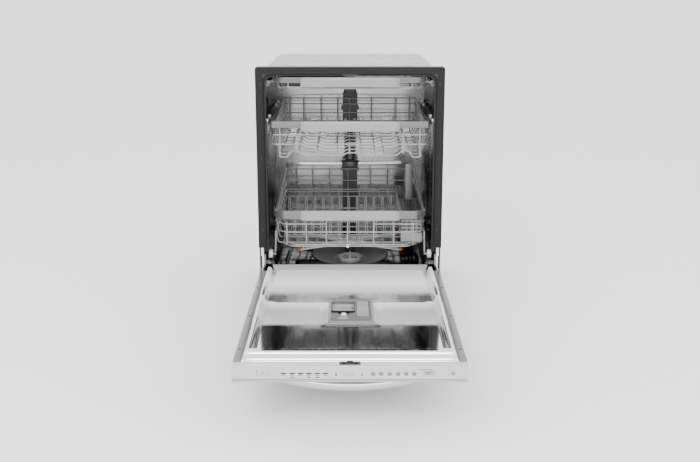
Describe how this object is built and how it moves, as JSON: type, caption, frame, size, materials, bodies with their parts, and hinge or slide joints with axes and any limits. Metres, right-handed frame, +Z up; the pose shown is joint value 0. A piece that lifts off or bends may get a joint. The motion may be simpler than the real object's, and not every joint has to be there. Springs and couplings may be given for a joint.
{
  "type": "built-in dishwasher",
  "caption": "Built-in dishwasher with a drop-down door, sliding wire racks, a cutlery basket, spray arms and a bowed towel-bar handle, shown open.",
  "frame": {"origin": "middle of the cabinet opening's front plane, on the floor", "axes": "+X to the right, +Y to the back of the tub, +Z up; the door opens towards -Y"},
  "size_m": [0.603, 1.283, 0.855],
  "materials": {
    "tub_steel": "bright stainless sheet, fine grain",
    "door_steel": "brushed stainless",
    "trim_plastic": "dark grey ribbed extrusion",
    "rubber": "matte black seal",
    "zinc_steel": "galvanised sheet",
    "base_plastic": "black moulded plastic",
    "insulation": "pale pressed felt",
    "pump_plastic": "grey moulded plastic",
    "white_plastic": "white moulded plastic",
    "duct_plastic": "dark grey moulded plastic",
    "filter_mesh": "dark grey perforated plastic",
    "spring_steel": "oiled spring wire",
    "panel_finish": "light warm grey satin",
    "circuit_board": "green lacquered board",
    "dispenser_plastic": "mid grey moulded plastic",
    "rack_rim_finish": "silver grey satin",
    "rack_wire": "light grey nylon coating",
    "basket_plastic": "light grey moulded plastic",
    "spray_steel": "polished stainless"
  },
  "bodies": {
    "cabinet": {"tub_wrap": "tub_steel", "tub_back": "tub_steel", "tub_floor": "tub_steel", "front_trim": "trim_plastic", "door_gasket": "rubber", "side_frames": "zinc_steel", "base_pan": "base_plastic", "toe_kick": "base_plastic", "mounting_brackets": "zinc_steel", "insulation_blanket": "insulation", "sump_housing": "base_plastic", "wash_pump": "pump_plastic", "drain_pump": "pump_plastic", "inlet_valve": "white_plastic", "junction_box": "zinc_steel", "rear_duct": "duct_plastic", "top_feed_pipe": "duct_plastic", "coarse_filter": "filter_mesh", "upper_rails_fixed": "zinc_steel", "third_rails_fixed": "zinc_steel", "striker": "zinc_steel", "balance_springs": "spring_steel"},
    "foot_front_left": {"foot_front_left": "base_plastic"},
    "foot_front_right": {"foot_front_right": "base_plastic"},
    "feet_rear": {"feet_rear": "base_plastic"},
    "door": {"door_skin": "door_steel", "door_liner": "tub_steel", "splash_lip": "tub_steel", "hinge_arms": "zinc_steel", "control_panel": "panel_finish", "control_board": "circuit_board", "door_handle": "door_steel", "dispenser_body": "dispenser_plastic"},
    "power_button": {"power_button": "panel_finish"},
    "start_button": {"start_button": "panel_finish"},
    "door_latch": {"door_latch": "pump_plastic"},
    "detergent_lid": {"detergent_lid": "dispenser_plastic"},
    "rinse_aid_lid": {"rinse_aid_lid": "dispenser_plastic"},
    "dispenser_latch": {"dispenser_latch": "white_plastic"},
    "lower_rack": {"lower_rack_rim": "rack_rim_finish", "lower_rack_wires": "rack_wire"},
    "lower_tines_front": {"lower_tines_front": "rack_wire"},
    "lower_tines_rear": {"lower_tines_rear": "rack_wire"},
    "lower_wheels_front": {"lower_wheels_front": "white_plastic"},
    "lower_wheels_rear": {"lower_wheels_rear": "white_plastic"},
    "cutlery_basket": {"cutlery_basket": "basket_plastic"},
    "basket_lid": {"basket_lid": "duct_plastic"},
    "upper_rails_mid": {"upper_rails_mid": "zinc_steel"},
    "upper_carriages": {"upper_carriages": "rack_rim_finish"},
    "upper_rack": {"upper_rack_rim": "rack_rim_finish", "upper_rack_wires": "rack_wire", "middle_feed": "duct_plastic"},
    "upper_tines": {"upper_tines": "rack_wire"},
    "middle_spray_arm": {"middle_spray_arm": "spray_steel"},
    "third_rack": {"third_rack_rail": "rack_rim_finish", "third_rack_wires": "rack_wire", "third_rack_tray": "duct_plastic"},
    "lower_spray_arm": {"lower_spray_arm": "spray_steel"},
    "ceiling_spray_arm": {"ceiling_spray_arm": "spray_steel"},
    "filter_cylinder": {"filter_cylinder": "filter_mesh"}
  },
  "joints": [
    {"name": "foot_front_left_screw", "type": "slide", "parent": "cabinet", "child": "foot_front_left", "axis": [0, 0, -1], "range_m": [0, 0.02]},
    {"name": "foot_front_right_screw", "type": "slide", "parent": "cabinet", "child": "foot_front_right", "axis": [0, 0, -1], "range_m": [0, 0.02]},
    {"name": "feet_rear_screw", "type": "slide", "parent": "cabinet", "child": "feet_rear", "axis": [0, 0, -1], "range_m": [0, 0.02]},
    {"name": "door_hinge", "type": "hinge", "parent": "cabinet", "child": "door", "pos_m": [0, -0.0205, 0.1595], "axis": [-1, 0, 0], "range_deg": [0, 90], "deforming": ["balance_springs"]},
    {"name": "power_button_press", "type": "slide", "parent": "door", "child": "power_button", "axis": [0, 1, 0], "range_m": [0, 0.0015], "stiffness_N_per_m": 300},
    {"name": "start_button_press", "type": "slide", "parent": "door", "child": "start_button", "axis": [0, 1, 0], "range_m": [0, 0.0015], "stiffness_N_per_m": 300},
    {"name": "door_latch_slide", "type": "slide", "parent": "door", "child": "door_latch", "axis": [0, 0, -1], "range_m": [0, 0.006], "stiffness_N_per_m": 200},
    {"name": "detergent_lid_slide", "type": "slide", "parent": "door", "child": "detergent_lid", "axis": [0, -1, 0], "range_m": [-0.047, 0.033]},
    {"name": "rinse_aid_lid_hinge", "type": "hinge", "parent": "door", "child": "rinse_aid_lid", "pos_m": [0.037, -0.273, 0.178], "axis": [-1, 0, 0], "range_deg": [0, 80]},
    {"name": "dispenser_latch_press", "type": "slide", "parent": "door", "child": "dispenser_latch", "axis": [0, 0, -1], "range_m": [0, 0.003], "stiffness_N_per_m": 200},
    {"name": "lower_rack_slide", "type": "slide", "parent": "cabinet", "child": "lower_rack", "axis": [0, 1, 0], "range_m": [-0.5, 0]},
    {"name": "lower_tines_front_fold", "type": "hinge", "parent": "lower_rack", "child": "lower_tines_front", "pos_m": [0, 0.14, 0.2596], "axis": [-1, 0, 0], "range_deg": [0, 80]},
    {"name": "lower_tines_rear_fold", "type": "hinge", "parent": "lower_rack", "child": "lower_tines_rear", "pos_m": [0, 0.33, 0.2596], "axis": [-1, 0, 0], "range_deg": [0, 80]},
    {"name": "lower_wheels_front_roll", "type": "hinge", "parent": "lower_rack", "child": "lower_wheels_front", "pos_m": [0, 0.064, 0.2168], "axis": [1, 0, 0], "range_deg": [-10, 2000]},
    {"name": "lower_wheels_rear_roll", "type": "hinge", "parent": "lower_rack", "child": "lower_wheels_rear", "pos_m": [0, 0.47, 0.2168], "axis": [1, 0, 0], "range_deg": [-10, 2000]},
    {"name": "cutlery_basket_lift", "type": "slide", "parent": "lower_rack", "child": "cutlery_basket", "axis": [0, 0, 1], "range_m": [0, 0.05]},
    {"name": "basket_lid_hinge", "type": "hinge", "parent": "cutlery_basket", "child": "basket_lid", "pos_m": [0.242, 0.25, 0.3598], "axis": [0, 1, 0], "range_deg": [0, 80]},
    {"name": "upper_rails_mid_slide", "type": "slide", "parent": "cabinet", "child": "upper_rails_mid", "axis": [0, 1, 0], "range_m": [-0.24, 0]},
    {"name": "upper_rack_slide", "type": "slide", "parent": "cabinet", "child": "upper_carriages", "axis": [0, 1, 0], "range_m": [-0.48, 0]},
    {"name": "upper_rack_height", "type": "slide", "parent": "upper_carriages", "child": "upper_rack", "axis": [0, 0, 1], "range_m": [-0.05, 0]},
    {"name": "upper_tines_fold", "type": "hinge", "parent": "upper_rack", "child": "upper_tines", "pos_m": [0, 0.3, 0.58], "axis": [-1, 0, 0], "range_deg": [0, 80]},
    {"name": "middle_spray_arm_spin", "type": "hinge", "parent": "upper_rack", "child": "middle_spray_arm", "pos_m": [0, 0.285, 0.487], "axis": [0, 0, 1], "continuous": true},
    {"name": "third_rack_slide", "type": "slide", "parent": "cabinet", "child": "third_rack", "axis": [0, 1, 0], "range_m": [-0.44, 0]},
    {"name": "lower_spray_arm_spin", "type": "hinge", "parent": "cabinet", "child": "lower_spray_arm", "pos_m": [0, 0.285, 0.19], "axis": [0, 0, 1], "continuous": true},
    {"name": "ceiling_spray_arm_spin", "type": "hinge", "parent": "cabinet", "child": "ceiling_spray_arm", "pos_m": [0, 0.285, 0.82], "axis": [0, 0, 1], "continuous": true},
    {"name": "filter_twist", "type": "hinge", "parent": "cabinet", "child": "filter_cylinder", "pos_m": [0, 0.212, 0.15], "axis": [0, 0, 1], "range_deg": [0, 90]}
  ],
  "couplings": [
    {"joint": "lower_wheels_front_roll", "follows": "lower_rack_slide", "rad_per_m": -68.966},
    {"joint": "lower_wheels_rear_roll", "follows": "lower_rack_slide", "rad_per_m": -68.966},
    {"joint": "upper_rails_mid_slide", "follows": "upper_rack_slide", "ratio": 0.5}
  ]
}
